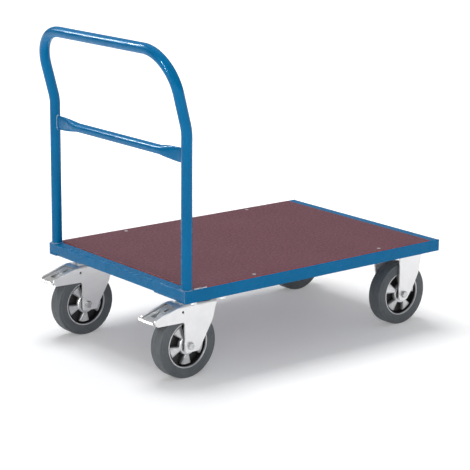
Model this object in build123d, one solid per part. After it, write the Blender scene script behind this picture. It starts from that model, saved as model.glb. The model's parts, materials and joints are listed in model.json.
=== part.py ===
"""Push-bar platform cart.

A steel frame with a plywood deck and a welded handle, on two braked swivel casters and two fixed casters.
Millimetres. +X runs from the handle end to the far end, +Y to the pusher's left, +Z up, and the wheels stand
on Z = 0. Every piece is drawn with X measured from the outer face of the handle-end beam, and is moved to the
middle of the cart's overall length when it is written.
"""

from build123d import *
import os
from math import cos, hypot, pi, radians, sin

# ---- Driving dimensions --------------------------------------------------------------------------------
platform_length = 1000
platform_width = 700
half_width = platform_width / 2
frame_bottom = 245

# Side rails are steel angle, and the end beams are box tube that stands on the angle's flat leaf.
rail_height = 36
rail_leaf = 36
rail_thickness = 5
beam_width = 34
beam_wall = 2.5
beam_corner = 3
cross_width = 40
cross_wall = 2
cross_centres = {"rear": 270, "middle": 517, "front": 765}
frame_top = frame_bottom + rail_height
leaf_top = frame_bottom + rail_thickness

# Film-faced plywood deck, laid between the beams and standing a little proud of them.
deck_thickness = 12
deck_proud = 2
deck_gap = 1.5
deck_top = frame_top + deck_proud
deck_bottom = deck_top - deck_thickness
screw_inset = 28
screw_radius = 3
screw_head_radius = 6
screw_clearance = 0.1

# Push handle: one bent tube, and a cross tube whose ends are pressed flat.
tube_radius = 16
tube_wall = 2.5
handle_x = beam_width / 2
handle_y = half_width - 17.5
bend_rise = 452
lean_angle = radians(15)
lean_length = 227
bend_radius = 140
corner_radius = 119
crossbar_radius = 14
crossbar_wall = 2
crossbar_z = 662
crossbar_round_half = 215
crossbar_end_thin = 3.4
crossbar_end_tall = 21.5
bead_leg = 3.5

# Wheels: cushioned rubber tyre on a five-spoke aluminium rim with two ball bearings.
wheel_radius = 100
tyre_width = 48
tyre_seat_radius = 69
rim_width = 47
spoke_count = 5
spoke_phase = {"swivel": 52, "fixed": 12}
hub_radius = 29
hub_width = 54
bearing_bore = 10
bearing_radius = 23.5
bearing_width = 14
axle_radius = 6
sleeve_length = 59

# Caster heads: mounting plate, ball ring and the fork's crown.
caster_height = 240
plate_length = 140
plate_width = 110
plate_thickness = 6
bolt_spacing_x = 105
bolt_spacing_y = 88
bolt_radius = 5
pad_gap = 6
pad_inner_y = {"swivel": 190, "fixed": 180}
pad_hole_radius = 17
bolt_flats = 17
bolt_head = 6.4
washer_radius = 10
washer_thickness = 2
pivot_x = 115
pivot_inset = 88.5
trail = 56
fixed_x = 919
fixed_inset = 102
fork_thickness = 5
fork_half_width = 34.5
fork_bend = 8
crown_top = 224
kingpin_radius = 8
kingpin_head_radius = 13
kingpin_head = 6
kingpin_end = 200
kingpin_nut_flats = 24
kingpin_nut_bottom = 203
running_gap = 0.06
ball_radius = 3.6
ball_circle = 27
ball_count = 22
race_outer = 35
race_inner = 20
race_height = 4
lock_disc_radius = 27
lock_disc_bottom = 213.5
lock_disc_thickness = 4
lock_notches = 16
axle_flats = 19
axle_head = 7.5
axle_nut_height = 11

# Brake pedal: its pin crosses the fork's arms, and the brake is on after press_angle.
pin_radius = 3.5
pin_hole_radius = 4
pin_x = 33
pin_z = 204
press_angle = 7
arm_slope = 0.311
arm_tip_x = -69
arm_tip_z = 193
pedal_drop = 4
pedal_sheet = 2.5
pedal_half_width = 26.5
pedal_neck_x = -66
pedal_tip_x = -73
lip_inner = -31
lip_outer = 41

wheel_x = pivot_x - trail
plate_bottom = caster_height - plate_thickness
crown_bottom = crown_top - fork_thickness
fork_inner = fork_half_width - fork_thickness
sides = {"right": -1, "left": 1}

# The row's origin is under the middle of the overall length, from the pedal's tip to the fixed wheels' front.
rear_overhang = -pedal_tip_x
front_overhang = fixed_x + wheel_radius - platform_length
rear_face_x = -(platform_length + front_overhang - rear_overhang) / 2


# ---- Helpers -------------------------------------------------------------------------------------------
def block(low, high):
    """A box between two corner points."""
    size = [b - a for a, b in zip(low, high)]
    return Pos(*low) * Box(*size, align=(Align.MIN, Align.MIN, Align.MIN))


def upright_cylinder(x, y, low_z, high_z, radius):
    """A cylinder about a vertical axis."""
    return Pos(x, y, low_z) * Cylinder(radius, high_z - low_z, align=(Align.CENTER, Align.CENTER, Align.MIN))


def cross_cylinder(x, z, low_y, high_y, radius):
    """A cylinder about an axis that runs across the cart, along Y."""
    middle = (low_y + high_y) / 2
    return Pos(x, middle, z) * Rot(90, 0, 0) * Cylinder(radius, high_y - low_y)


def side_extrude(points, low_y, high_y):
    """An outline drawn in X and Z, carried across the cart from low_y to high_y."""
    face = make_face(Polyline(*[(x, low_y, z) for x, z in points], close=True))
    return extrude(face, amount=high_y - low_y, dir=(0, 1, 0))


def rounded_side_extrude(points, radii, low_y, high_y):
    """As side_extrude, with the corners of the outline rounded. radii has one value for each point."""
    solid = side_extrude(points, low_y, high_y)
    for (x, z), radius in zip(points, radii):
        if radius:
            across = solid.edges().filter_by(Axis.Y)
            corner = across.filter_by(lambda e: hypot(e.center().X - x, e.center().Z - z) < 0.01)
            solid = fillet(corner, radius)
    return solid


def hexagon_prism(across_flats, height):
    """A hexagonal prism standing on Z = 0, with two flats facing +Y and -Y."""
    return extrude(RegularPolygon(across_flats / 2, 6, major_radius=False), amount=height)


def ring(outer, inner, low_z, high_z):
    """A flat ring about the Z axis."""
    return upright_cylinder(0, 0, low_z, high_z, outer) - upright_cylinder(0, 0, low_z, high_z, inner)


def wheel_revolve(points):
    """A closed outline of (distance from the axle, offset along the axle), turned about the Y axis."""
    face = make_face(Polyline(*[(radius, offset, 0) for radius, offset in points], close=True))
    return revolve(face, Axis.Y)


def torus_about_z(circle_radius, wire_radius, z):
    """A torus lying flat about the Z axis at a height."""
    return Pos(0, 0, z) * Torus(circle_radius, wire_radius)


# ---- Frame ---------------------------------------------------------------------------------------------
def side_rail(side):
    """Steel angle with its tall leaf outside and its flat leaf turned in at the bottom."""
    outline = [
        (half_width, frame_bottom),
        (half_width, frame_top),
        (half_width - rail_thickness, frame_top),
        (half_width - rail_thickness, leaf_top),
        (half_width - rail_leaf, leaf_top),
        (half_width - rail_leaf, frame_bottom),
    ]
    face = make_face(Polyline(*[(0, side * y, z) for y, z in outline], close=True))
    rail = extrude(face, amount=platform_length, dir=(1, 0, 0))
    long_edges = rail.edges().filter_by(Axis.X)
    outer_edges = long_edges.filter_by(lambda e: abs(e.center().Y) > half_width - 0.1)
    return fillet(outer_edges, 1.2)


def box_tube(width, low_z, high_z, wall, corner):
    """A rectangular tube across the frame between the rails' tall leaves, with rounded long edges."""
    length = platform_width - 2 * rail_thickness
    middle_z = (low_z + high_z) / 2
    height = high_z - low_z
    outside = extrude(Plane.XZ * RectangleRounded(width, height, corner), amount=length / 2, both=True)
    inside = extrude(Plane.XZ * Rectangle(width - 2 * wall, height - 2 * wall), amount=length / 2, both=True)
    return Pos(0, 0, middle_z) * (outside - inside)


def end_beam(centre_x):
    """End beam, flush with the top of the side rails."""
    return Pos(centre_x, 0, 0) * box_tube(beam_width, leaf_top, frame_top, beam_wall, beam_corner)


def deck_screw(x, y):
    """Countersunk screw through the deck into the top wall of a cross-member."""
    head_depth = screw_head_radius - screw_radius
    head = Pos(x, y, deck_top - head_depth / 2) * Cone(screw_radius, screw_head_radius, head_depth)
    shank = upright_cylinder(x, y, deck_bottom - 5, deck_top - head_depth, screw_radius)
    drive = Pos(x, y, deck_top) * (Box(5, 1.1, 3) + Box(1.1, 5, 3))
    return head + shank - drive


def screw_places():
    """The deck's four screws, two on each of the outer cross-members."""
    y = half_width - screw_inset
    return [(cross_centres[name], side * y) for name in ("rear", "front") for side in (-1, 1)]


def screw_hole(x, y):
    """The hole for a deck screw in the deck and the cross-member, with a little clearance all round."""
    head_depth = screw_head_radius - screw_radius
    small, large = screw_radius + screw_clearance, screw_head_radius + screw_clearance
    head = Pos(x, y, deck_top - head_depth / 2) * Cone(small, large, head_depth)
    return head + upright_cylinder(x, y, deck_bottom - 6, deck_top - head_depth, small)


def cross_member(name):
    """Tube that lies on the rails' flat leaves and carries the deck."""
    member = Pos(cross_centres[name], 0, 0) * box_tube(cross_width, leaf_top, deck_bottom, cross_wall, 2.5)
    for x, y in screw_places():
        if x == cross_centres[name]:
            member -= screw_hole(x, y)
    return member


def deck_board():
    """Plywood board with eased top edges and countersunk screw holes."""
    low = (beam_width + deck_gap, -half_width + rail_thickness + deck_gap, deck_bottom)
    high = (platform_length - beam_width - deck_gap, half_width - rail_thickness - deck_gap, deck_top)
    board = block(low, high)
    board = fillet(board.edges().group_by(Axis.Z)[-1], 0.8)
    for x, y in screw_places():
        board -= screw_hole(x, y)
    return board


def caster_places():
    """Kind and plate centre of each caster, and its pad's low x, high x and inner y."""
    rear_pad = (pad_gap, cross_centres["rear"] + cross_width / 2, pad_inner_y["swivel"])
    front_end = platform_length - pad_gap
    front_pad = (cross_centres["front"] - cross_width / 2, front_end, pad_inner_y["fixed"])
    places = []
    for side in sides.values():
        places.append(("swivel", pivot_x, side * (half_width - pivot_inset), *rear_pad))
        places.append(("fixed", fixed_x, side * (half_width - fixed_inset), *front_pad))
    return places


def bolt_places():
    """Centres of the sixteen caster bolts."""
    return [
        (x + i * bolt_spacing_x / 2, y + j * bolt_spacing_y / 2)
        for _, x, y, *_ in caster_places()
        for i in (-1, 1)
        for j in (-1, 1)
    ]


def caster_pads():
    """Tapped steel pads welded between each rail, end beam and cross-member, thicker over each caster."""
    pads = []
    for kind, x, y, low_x, high_x, inner_y in caster_places():
        outer_y = half_width - rail_leaf
        low_y, high_y = sorted((inner_y * y / abs(y), outer_y * y / abs(y)))
        pad = block((low_x, low_y, frame_bottom), (high_x, high_y, leaf_top))
        pad = fillet(pad.edges().filter_by(Axis.Z), 4)
        half_x, half_y = plate_length / 2 - 2, plate_width / 2 - 2
        step = block((x - half_x, y - half_y, caster_height), (x + half_x, y + half_y, frame_bottom))
        pad += fillet(step.edges().filter_by(Axis.Z), 8)
        if kind == "swivel":
            pad -= upright_cylinder(x, y, caster_height, leaf_top, pad_hole_radius)
        for bolt_x, bolt_y in bolt_places():
            if hypot(bolt_x - x, bolt_y - y) < plate_length / 2:
                pad -= upright_cylinder(bolt_x, bolt_y, caster_height, leaf_top, bolt_radius)
        pads.append(pad)
    return pads


# ---- Handle --------------------------------------------------------------------------------------------
def handle_points():
    """Corner points of the handle's centre line, from the right foot over the top to the left foot."""
    bend_z = frame_top + bend_rise
    top_x = handle_x - lean_length * sin(lean_angle)
    top_z = bend_z + lean_length * cos(lean_angle)
    right = [(handle_x, -handle_y, frame_top), (handle_x, -handle_y, bend_z), (top_x, -handle_y, top_z)]
    left = [(x, -y, z) for x, y, z in reversed(right)]
    return right + left


def push_handle():
    """Bent tube: two uprights that lean back above the crossbar, rounded into the grip bar."""
    path = FilletPolyline(*handle_points(), radius=[bend_radius, corner_radius, corner_radius, bend_radius])
    start = Plane(origin=handle_points()[0], z_dir=(0, 0, 1))
    section = start * (Circle(tube_radius) - Circle(tube_radius - tube_wall))
    return sweep(section, path=path)


def crossbar_section(y, thin, tall):
    """Ellipse across the crossbar at a distance along it."""
    return Plane(origin=(handle_x, y, crossbar_z), x_dir=(1, 0, 0), z_dir=(0, 1, 0)) * Ellipse(thin, tall)


def crossbar_body(shrink):
    """Round tube whose ends go over to tall flat ellipses of the same girth, smaller all round by shrink."""
    reach = crossbar_round_half
    middle = cross_cylinder(handle_x, crossbar_z, -reach, reach, crossbar_radius - shrink)
    stations = [
        (reach, crossbar_radius, crossbar_radius),
        (reach + 40, 9.5, 17.6),
        (reach + 80, 4.5, 20.8),
        (handle_y, crossbar_end_thin, crossbar_end_tall),
    ]
    end = loft([crossbar_section(y, thin - shrink, tall - shrink) for y, thin, tall in stations])
    return middle + end + mirror(end, about=Plane.XZ)


def upright_solid(side):
    """Full cylinder in the place of one upright, used to cope what meets it."""
    return upright_cylinder(handle_x, side * handle_y, frame_top, crossbar_z + 60, tube_radius)


def handle_crossbar():
    """Crossbar coped to the two uprights."""
    bar = crossbar_body(0) - crossbar_body(crossbar_wall)
    for side in sides.values():
        bar -= upright_solid(side)
    return bar


def weld_beads():
    """Fillet welds: a ring round each upright's foot and a collar round each end of the crossbar."""
    beads = []
    for side in sides.values():
        outline = [(tube_radius, 0), (tube_radius + bead_leg, 0), (tube_radius, bead_leg)]
        foot = revolve(make_face(Polyline(*[(r, 0, z) for r, z in outline], close=True)), Axis.Z)
        foot = Pos(handle_x, side * handle_y, frame_top) * foot
        low_y, high_y = sorted((side * (half_width - 0.4), side * (half_width - 60)))
        foot &= block((0.4, low_y, frame_top), (beam_width - 0.4, high_y, frame_top + bead_leg))
        beads.append(foot)
        reach = handle_y - tube_radius
        low_y, high_y = sorted((side * (reach - bead_leg), side * (handle_y - 10)))
        plane = Plane(origin=(handle_x, low_y, crossbar_z), x_dir=(1, 0, 0), z_dir=(0, 1, 0))
        outline = Ellipse(crossbar_end_thin + bead_leg, crossbar_end_tall + 2)
        collar = extrude(plane * outline, amount=high_y - low_y)
        collar = collar - upright_solid(side) - crossbar_body(0)
        beads.append(max(collar.solids(), key=lambda s: s.volume))
    return beads


# ---- Casters: fixed hardware ---------------------------------------------------------------------------
def caster_bolt(x, y):
    """Hexagon bolt that holds a caster plate to its tapped pad."""
    seat = plate_bottom - washer_thickness
    head = Pos(0, 0, seat - bolt_head) * hexagon_prism(bolt_flats, bolt_head)
    shank = upright_cylinder(0, 0, seat, leaf_top - 0.5, bolt_radius)
    return Pos(x, y, 0) * (head + shank)


def mounting_plate():
    """Rectangular top plate with rounded corners and four bolt holes, about the Z axis."""
    half_x, half_y = plate_length / 2, plate_width / 2
    plate = block((-half_x, -half_y, plate_bottom), (half_x, half_y, caster_height))
    plate = fillet(plate.edges().filter_by(Axis.Z), 10)
    for i in (-1, 1):
        for j in (-1, 1):
            hole = upright_cylinder(0, 0, plate_bottom, caster_height, bolt_radius + 0.5)
            plate -= Pos(i * bolt_spacing_x / 2, j * bolt_spacing_y / 2, 0) * hole
    return plate


def swivel_plate():
    """Top plate of a swivel caster with the upper ball race pressed into its underside."""
    race = ring(race_outer, race_inner, plate_bottom - race_height, plate_bottom)
    race -= torus_about_z(ball_circle, ball_radius + 0.2, ball_height())
    return mounting_plate() + race - upright_cylinder(0, 0, plate_bottom, caster_height, kingpin_radius)


def ball_height():
    """Height of the swivel head's balls, half way between the crown and the top plate."""
    return (crown_top + plate_bottom) / 2


def kingpin():
    """Headed pin through the top plate, the crown and the lock disc."""
    head = upright_cylinder(0, 0, caster_height, caster_height + kingpin_head, kingpin_head_radius)
    head = chamfer(head.edges().group_by(Axis.Z)[-1], 1.5)
    return head + upright_cylinder(0, 0, kingpin_end, caster_height, kingpin_radius)


def kingpin_nut():
    """Hexagon nut that closes the swivel head from below."""
    height = lock_disc_bottom - kingpin_nut_bottom
    nut = Pos(0, 0, kingpin_nut_bottom) * hexagon_prism(kingpin_nut_flats, height)
    return nut - upright_cylinder(0, 0, kingpin_nut_bottom, lock_disc_bottom, kingpin_radius)


def lock_disc():
    """Notched disc that stands still under the crown, for the pedal's tooth to rise into."""
    top = lock_disc_bottom + lock_disc_thickness
    disc = ring(lock_disc_radius, kingpin_radius, lock_disc_bottom, top)
    for k in range(lock_notches):
        notch = Pos(lock_disc_radius, 0, (lock_disc_bottom + top) / 2) * Box(12, 6, 6)
        disc -= Rot(0, 0, 360 * k / lock_notches) * notch
    return disc


def swivel_balls():
    """Ring of balls between the top plate and the crown."""
    ball = Pos(ball_circle, 0, ball_height()) * Sphere(ball_radius)
    return [Rot(0, 0, 360 * k / ball_count) * ball for k in range(ball_count)]


def dust_seal():
    """Rubber ring that closes the ball gap."""
    return ring(race_outer + 2.5, race_outer + 0.3, crown_top + 0.2, plate_bottom - 0.2)


# ---- Casters: forks ------------------------------------------------------------------------------------
def channel_section(top_z, low_z, low_x, high_x):
    """Pressed-steel channel open downwards, bent from one sheet, carried along X."""
    inner_bend = fork_bend - fork_thickness
    outside = block((low_x, -fork_half_width, low_z), (high_x, fork_half_width, top_z))
    outside = fillet(outside.edges().filter_by(Axis.X).group_by(Axis.Z)[-1], fork_bend)
    inside = block((low_x, -fork_inner, low_z), (high_x, fork_inner, top_z - fork_thickness))
    inside = fillet(inside.edges().filter_by(Axis.X).group_by(Axis.Z)[-1], inner_bend)
    return outside - inside


def arm_edge(x):
    """Height of the upper edge of the fork's pedal arms."""
    return arm_tip_z + arm_slope * (x - arm_tip_x)


def fork():
    """Swivel fork: crown, two legs that run back to the axle and two arms beside the pedal."""
    crown_start = arm_tip_x + (crown_top - arm_tip_z) / arm_slope
    points = [
        (arm_tip_x, arm_tip_z),
        (-57, 175.5),
        (39, 173),
        (42, 81),
        (90, 81),
        (139, 165),
        (154, crown_bottom),
        (154, crown_top),
        (crown_start, crown_top),
    ]
    radii = [5, 6, 8, 7, 9, 60, 0, 0, 0]
    outline = rounded_side_extrude(points, radii, -fork_half_width, fork_half_width)
    body = channel_section(crown_top, 70, arm_tip_x - 5, 160) & outline
    body += Pos(pivot_x, 0, 0) * ring(race_outer, race_inner, crown_top, crown_top + race_height)
    body -= Pos(pivot_x, 0, 0) * torus_about_z(ball_circle, ball_radius + 0.2, ball_height())
    body -= upright_cylinder(pivot_x, 0, crown_bottom, crown_top, kingpin_radius + running_gap)
    body -= cross_cylinder(wheel_x, wheel_radius, -fork_half_width, fork_half_width, axle_radius)
    body -= cross_cylinder(pin_x, pin_z, -fork_half_width, fork_half_width, pin_hole_radius)
    return body


def fixed_bracket():
    """Fixed fork: top plate and two legs, each leg the other one turned half round about the vertical."""
    points = [
        (-20.5, plate_bottom),
        (-20.5, 88),
        (-12, 81),
        (12, 81),
        (38, 116),
        (62, 164),
        (71, 214),
        (71, plate_bottom),
    ]
    radii = [0, 9, 9, 12, 60, 60, 40, 0]
    leg = rounded_side_extrude(points, radii, -fork_half_width, 0)
    leg &= channel_section(plate_bottom, 70, -75, 75)
    body = leg + Rot(0, 0, 180) * leg
    body -= cross_cylinder(0, wheel_radius, -fork_half_width, fork_half_width, axle_radius)
    return body + mounting_plate()


def axle_bolt():
    """Hexagon bolt through both legs, about the wheel's axis, with its head on the -Y side."""
    head = Pos(0, -fork_half_width - axle_head, 0) * Rot(-90, 0, 0) * hexagon_prism(axle_flats, axle_head)
    head = chamfer(head.edges().group_by(Axis.Y)[0], 0.8)
    return head + cross_cylinder(0, 0, -fork_half_width, fork_half_width + 13, axle_radius)


def axle_nut():
    """Hexagon lock nut on the +Y side."""
    nut = Pos(0, fork_half_width, 0) * Rot(-90, 0, 0) * hexagon_prism(axle_flats, axle_nut_height)
    nut = chamfer(nut.edges().group_by(Axis.Y)[-1], 0.8)
    return nut - cross_cylinder(0, 0, fork_half_width, fork_half_width + 13, axle_radius)


def axle_sleeve():
    """Tube clamped between the legs, on which the bearings' inner rings sit."""
    half = sleeve_length / 2
    return cross_cylinder(0, 0, -half, half, bearing_bore) - cross_cylinder(0, 0, -half, half, axle_radius)


# ---- Wheels, drawn about the Y axis --------------------------------------------------------------------
def tyre():
    """Cushioned rubber tyre with rounded shoulders and a moulded step between tread and sidewall."""
    half = tyre_width / 2
    right = [
        (tyre_seat_radius, half - 1),
        (tyre_seat_radius + 2.5, half),
        (tyre_seat_radius + 21, half),
        (tyre_seat_radius + 22.5, half - 1),
        (wheel_radius - 4, half - 1.2),
        (wheel_radius - 1.6, half - 2.4),
        (wheel_radius - 0.5, half - 4.6),
        (wheel_radius, half - 9),
    ]
    left = [(radius, -offset) for radius, offset in reversed(right)]
    return wheel_revolve(right + left)


def rim(kind):
    """Die-cast aluminium rim: rim barrel with lips, closed web, hub, and five spokes that widen outwards."""
    half = rim_width / 2
    hub_half = hub_width / 2
    web = 3
    barrel_inner = 62
    right = [
        (bearing_radius, hub_half - 4),
        (bearing_radius + 1, hub_half - 3),
        (hub_radius - 1, hub_half - 3),
        (hub_radius, hub_half - 5),
        (hub_radius + 3, web),
        (barrel_inner - 2, web),
        (barrel_inner, half - 6),
        (barrel_inner + 2.5, half),
        (tyre_seat_radius, half),
    ]
    left = [(radius, -offset) for radius, offset in reversed(right)]
    body = wheel_revolve(right + left)
    for k in range(spoke_count):
        body += spoke(spoke_phase[kind] + 360 * k / spoke_count)
    seat = cross_cylinder(0, 0, hub_half - 3 - bearing_width, hub_half, bearing_radius)
    body -= seat + mirror(seat, about=Plane.XZ)
    return body - cross_cylinder(0, 0, -hub_half, hub_half, bearing_radius - 3.5)


def spoke(angle):
    """One spoke: a wedge that widens from the hub to the rim, with faces that slope inwards to the rim."""
    inner_r, outer_r = hub_radius - 2, 61.5
    inner_half, outer_half = 6, 18.5
    plan = [(inner_r, -inner_half), (outer_r, -outer_half), (outer_r, outer_half), (inner_r, inner_half)]
    wedge = side_extrude(plan, -21, 21)
    slope = [(inner_r - 1, 22), (outer_r + 1, 15.5), (outer_r + 1, -15.5), (inner_r - 1, -22)]
    face = make_face(Polyline(*[(r, y, -25) for r, y in slope], close=True))
    profile = extrude(face, amount=50, dir=(0, 0, 1))
    return Rot(0, -angle, 0) * (wedge & profile)


def bearing_place(side):
    """Inner and outer faces of a bearing along the axle, on one side of the wheel."""
    outer = hub_width / 2 - 3
    return sorted((side * outer, side * (outer - bearing_width)))


def wheel_bearings():
    """Two bearings' outer rings with their shields, and their balls."""
    pieces = []
    for side in (-1, 1):
        low, high = bearing_place(side)
        shell = cross_cylinder(0, 0, low, high, bearing_radius)
        shell -= cross_cylinder(0, 0, low, high, 13.6)
        shell -= cross_cylinder(0, 0, low + 1.2, high - 1.2, 20.2)
        pieces.append(shell)
        for k in range(8):
            angle = 2 * pi * k / 8
            pieces.append(Pos(16.85 * cos(angle), (low + high) / 2, 16.85 * sin(angle)) * Sphere(3.3))
    return pieces


def inner_rings():
    """The two bearings' inner rings."""
    rings = []
    for side in (-1, 1):
        low, high = bearing_place(side)
        rings.append(cross_cylinder(0, 0, low, high, 13.5) - cross_cylinder(0, 0, low, high, bearing_bore))
    return rings


# ---- Brake ---------------------------------------------------------------------------------------------
def pedal_line(x):
    """Height of the pedal's upper face."""
    return arm_edge(x) - pedal_drop


def brake_pedal():
    """Pressed pedal: a plate with a flange each side, a wide lip at its tip and a lock tooth inside."""
    plate_end, bend_end = 22, 40
    blade_top = 210.5
    tooth_x = pivot_x - lock_disc_radius
    flange_drop = pedal_sheet - 0.2
    neck = pedal_neck_x
    top = [(neck, pedal_line(neck)), (plate_end, pedal_line(plate_end)), (bend_end, blade_top)]
    under = [(x, z - pedal_sheet) for x, z in reversed(top)]
    plate = side_extrude(top + under, -pedal_half_width, pedal_half_width)
    flange_outline = [
        (neck, pedal_line(neck) - flange_drop),
        (plate_end, pedal_line(plate_end) - flange_drop),
        (bend_end, blade_top - flange_drop),
        (bend_end + 1, 199),
        (pin_x, 196),
        (20, 199),
        (neck + 4, pedal_line(neck) - 12),
    ]
    flange = side_extrude(flange_outline, pedal_half_width - pedal_sheet, pedal_half_width)
    body = plate + flange + mirror(flange, about=Plane.XZ)
    body = fillet(body.edges().filter_by(is_pedal_edge), 2)
    cutter_z = (pedal_line(neck) - 30, pedal_line(plate_end) + 10)
    body -= window([(-47, 14), (-17, 9), (-48, -5)], *cutter_z)
    body -= window([(-13, -10), (5, -8), (5, -4), (-13, -5)], *cutter_z)
    body += pedal_tongue([(-48, -5), (-19, 8), (-19, 6.4), (-48, -6.6)])
    body += pedal_tongue([(-13, -5), (5, -4), (5, -2.4), (-13, -3.4)])
    blade = block((bend_end - 1, -12, blade_top - pedal_sheet), (tooth_x - 1, 12, blade_top))
    tooth = block((tooth_x - 4, -2, blade_top - pedal_sheet), (tooth_x + 5, 2, blade_top + 1))
    body += blade + tooth + pedal_lip(neck)
    return body - cross_cylinder(pin_x, pin_z, -pedal_half_width, pedal_half_width, pin_radius + running_gap)


def is_pedal_edge(edge):
    """True for the two long outer corners between the pedal's plate and its flanges."""
    middle = edge.center()
    at_side = abs(abs(middle.Y) - pedal_half_width) < 0.01
    return at_side and abs(middle.Z - pedal_line(middle.X)) < 0.01 and edge.length > 60


def window(plan, low_z, high_z):
    """A vertical cutter over an outline drawn in X and Y."""
    face = make_face(Polyline(*[(x, y, low_z) for x, y in plan], close=True))
    return extrude(face, amount=high_z - low_z, dir=(0, 0, 1))


def pedal_tongue(plan):
    """A narrow strip of the plate's metal turned up beside a window, as a foot grip."""
    ends = sorted({x for x, y in plan})
    low = [(x, pedal_line(x) - 1) for x in ends]
    high = [(ends[1], pedal_line(ends[1]) + 1.5), (ends[0], pedal_line(ends[0]) + 3)]
    strip = side_extrude(low + high, -20, 20)
    return strip & window(plan, pedal_line(ends[0]) - 10, pedal_line(ends[1]) + 10)


def pedal_lip(neck):
    """The rounded lip that the foot presses, wider than the plate and a little turned down."""
    z = pedal_line(neck)
    profile = [
        (neck + 0.2, z - 0.3),
        (neck + 0.2, z - pedal_sheet),
        (neck - 3, z - 2 - pedal_sheet),
        (pedal_tip_x + 1.5, z - 8),
        (pedal_tip_x, z - 7),
        (pedal_tip_x, z - 5),
        (neck - 3, z - 1.2),
    ]
    lip = side_extrude(profile, lip_inner, lip_outer)
    plan = [
        (neck + 0.2, -pedal_half_width + 2),
        (neck - 1, lip_inner + 1),
        (neck - 4, lip_inner),
        (pedal_tip_x, lip_inner + 4),
        (pedal_tip_x, lip_outer - 4),
        (neck - 4, lip_outer),
        (neck - 1, lip_outer - 1),
        (neck + 0.2, pedal_half_width - 2),
    ]
    return lip & window(plan, z - 30, z + 10)


def brake_shoe():
    """Rubber block under the pedal, hollowed so that it lies along the tyre when the pedal is down."""
    turn = -radians(press_angle)
    dx, dz = wheel_x - pin_x, wheel_radius - pin_z
    centre_x = pin_x + dx * cos(turn) - dz * sin(turn)
    centre_z = pin_z + dx * sin(turn) + dz * cos(turn)
    low_x, high_x = 4, 21
    outline = [
        (low_x, pedal_line(low_x) - pedal_sheet),
        (high_x, pedal_line(high_x) - pedal_sheet),
        (high_x, 180),
        (low_x, 180),
    ]
    shoe = side_extrude(outline, -17, 17)
    return shoe - cross_cylinder(centre_x, centre_z, -20, 20, wheel_radius + 0.4)


def pedal_pin():
    """Pin that the pedal turns on, set back in the holes of the fork's arms."""
    reach = fork_half_width - 3
    pin = cross_cylinder(pin_x, pin_z, -reach, reach, pin_radius)
    collar = cross_cylinder(pin_x, pin_z, fork_inner, reach, pin_hole_radius)
    return pin + collar + mirror(collar, about=Plane.XZ)


def pedal_spring():
    """Torsion spring round the pin, as closed coils of wire."""
    coils = []
    for k in range(5):
        coils.append(Pos(pin_x, 16.5 + 1.5 * k, pin_z) * Rot(90, 0, 0) * Torus(5.0, 0.7))
    return coils


# ---- Assembly ------------------------------------------------------------------------------------------
def compound(pieces):
    """Separate solids written as one node."""
    return Compound(children=[piece.solids()[0] for piece in pieces])


def build_nodes():
    """Every node by name, in drawing coordinates."""
    nodes = {
        "end_beam_rear": end_beam(beam_width / 2),
        "end_beam_front": end_beam(platform_length - beam_width / 2),
        "caster_pads": compound(caster_pads()),
        "push_handle": push_handle(),
        "handle_crossbar": handle_crossbar(),
        "weld_beads": compound(weld_beads()),
        "deck_board": deck_board(),
        "deck_screws": compound([deck_screw(x, y) for x, y in screw_places()]),
        "caster_bolts": compound([caster_bolt(x, y) for x, y in bolt_places()]),
    }
    washer = ring(washer_radius, bolt_radius + 0.25, plate_bottom - washer_thickness, plate_bottom)
    nodes["caster_washers"] = compound([Pos(x, y, 0) * washer for x, y in bolt_places()])
    for name in cross_centres:
        nodes["cross_member_" + name] = cross_member(name)
    for name, side in sides.items():
        nodes["side_rail_" + name] = side_rail(side)

    pivots = {name: Pos(pivot_x, side * (half_width - pivot_inset), 0) for name, side in sides.items()}
    nodes["kingpins"] = compound([place * kingpin() for place in pivots.values()])
    nodes["kingpin_nuts"] = compound([place * kingpin_nut() for place in pivots.values()])
    nodes["lock_discs"] = compound([place * lock_disc() for place in pivots.values()])
    nodes["swivel_balls"] = compound([place * ball for place in pivots.values() for ball in swivel_balls()])

    for name, side in sides.items():
        along = Pos(0, side * (half_width - pivot_inset), 0)
        axle = along * Pos(wheel_x, 0, wheel_radius)
        nodes["swivel_plate_" + name] = pivots[name] * swivel_plate()
        nodes["dust_seal_" + name] = pivots[name] * dust_seal()
        nodes["fork_" + name] = along * fork()
        nodes["axle_bolt_" + name] = axle * axle_bolt()
        nodes["axle_nut_" + name] = axle * axle_nut()
        nodes["axle_sleeve_" + name] = axle * axle_sleeve()
        nodes["inner_rings_" + name] = compound([axle * piece for piece in inner_rings()])
        nodes["brake_pedal_" + name] = along * brake_pedal()
        nodes["brake_shoe_" + name] = along * brake_shoe()
        nodes["pedal_pin_" + name] = along * pedal_pin()
        nodes["pedal_spring_" + name] = compound([along * coil for coil in pedal_spring()])
        nodes["tyre_swivel_" + name] = axle * tyre()
        nodes["rim_swivel_" + name] = axle * rim("swivel")
        nodes["bearings_swivel_" + name] = compound([axle * piece for piece in wheel_bearings()])

    fixed = {name: Pos(fixed_x, side * (half_width - fixed_inset), 0) for name, side in sides.items()}
    axles = {name: place * Pos(0, 0, wheel_radius) for name, place in fixed.items()}
    nodes["fixed_axle_bolts"] = compound([place * axle_bolt() for place in axles.values()])
    nodes["fixed_axle_nuts"] = compound([place * axle_nut() for place in axles.values()])
    nodes["fixed_axle_sleeves"] = compound([place * axle_sleeve() for place in axles.values()])
    inner = [place * piece for place in axles.values() for piece in inner_rings()]
    nodes["fixed_inner_rings"] = compound(inner)
    for name, place in fixed.items():
        nodes["fixed_bracket_" + name] = place * fixed_bracket()
        nodes["tyre_fixed_" + name] = axles[name] * tyre()
        nodes["rim_fixed_" + name] = axles[name] * rim("fixed")
        nodes["bearings_fixed_" + name] = compound([axles[name] * piece for piece in wheel_bearings()])
    return nodes


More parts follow.
